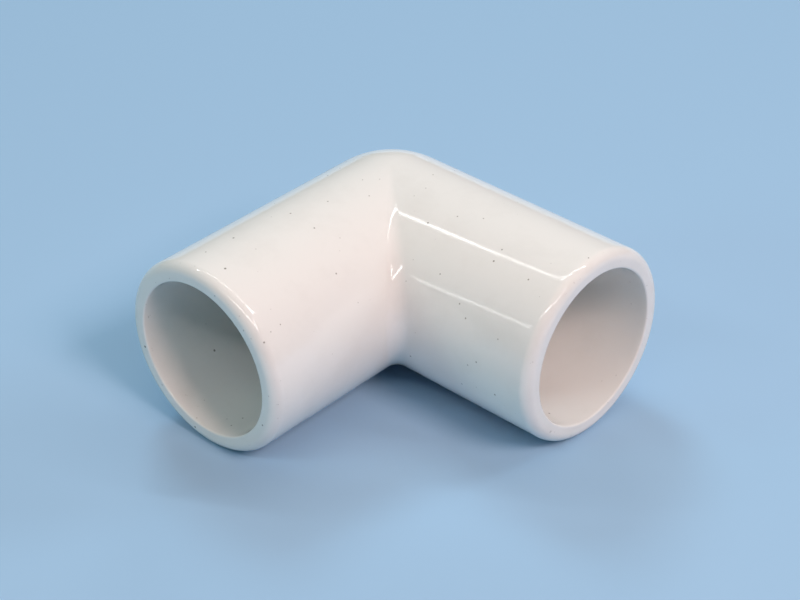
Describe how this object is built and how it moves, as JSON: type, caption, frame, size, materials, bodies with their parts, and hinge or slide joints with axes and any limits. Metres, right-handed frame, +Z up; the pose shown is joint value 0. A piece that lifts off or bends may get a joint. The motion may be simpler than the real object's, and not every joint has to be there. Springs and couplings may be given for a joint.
{
  "type": "pvc elbow fitting",
  "caption": "90-degree white PVC elbow with a plain round body and a slip socket for glued pipe in each end.",
  "frame": {"origin": "middle of the underside of the fitting's box, on the surface it lies on", "axes": "+X out of one socket, -Y out of the other, +Z up, square to the plane that holds both socket axes"},
  "size_m": [0.06, 0.06, 0.033],
  "materials": {
    "pvc": "glossy white moulded PVC"
  },
  "bodies": {
    "root": {"elbow_body": "pvc"}
  },
  "joints": []
}
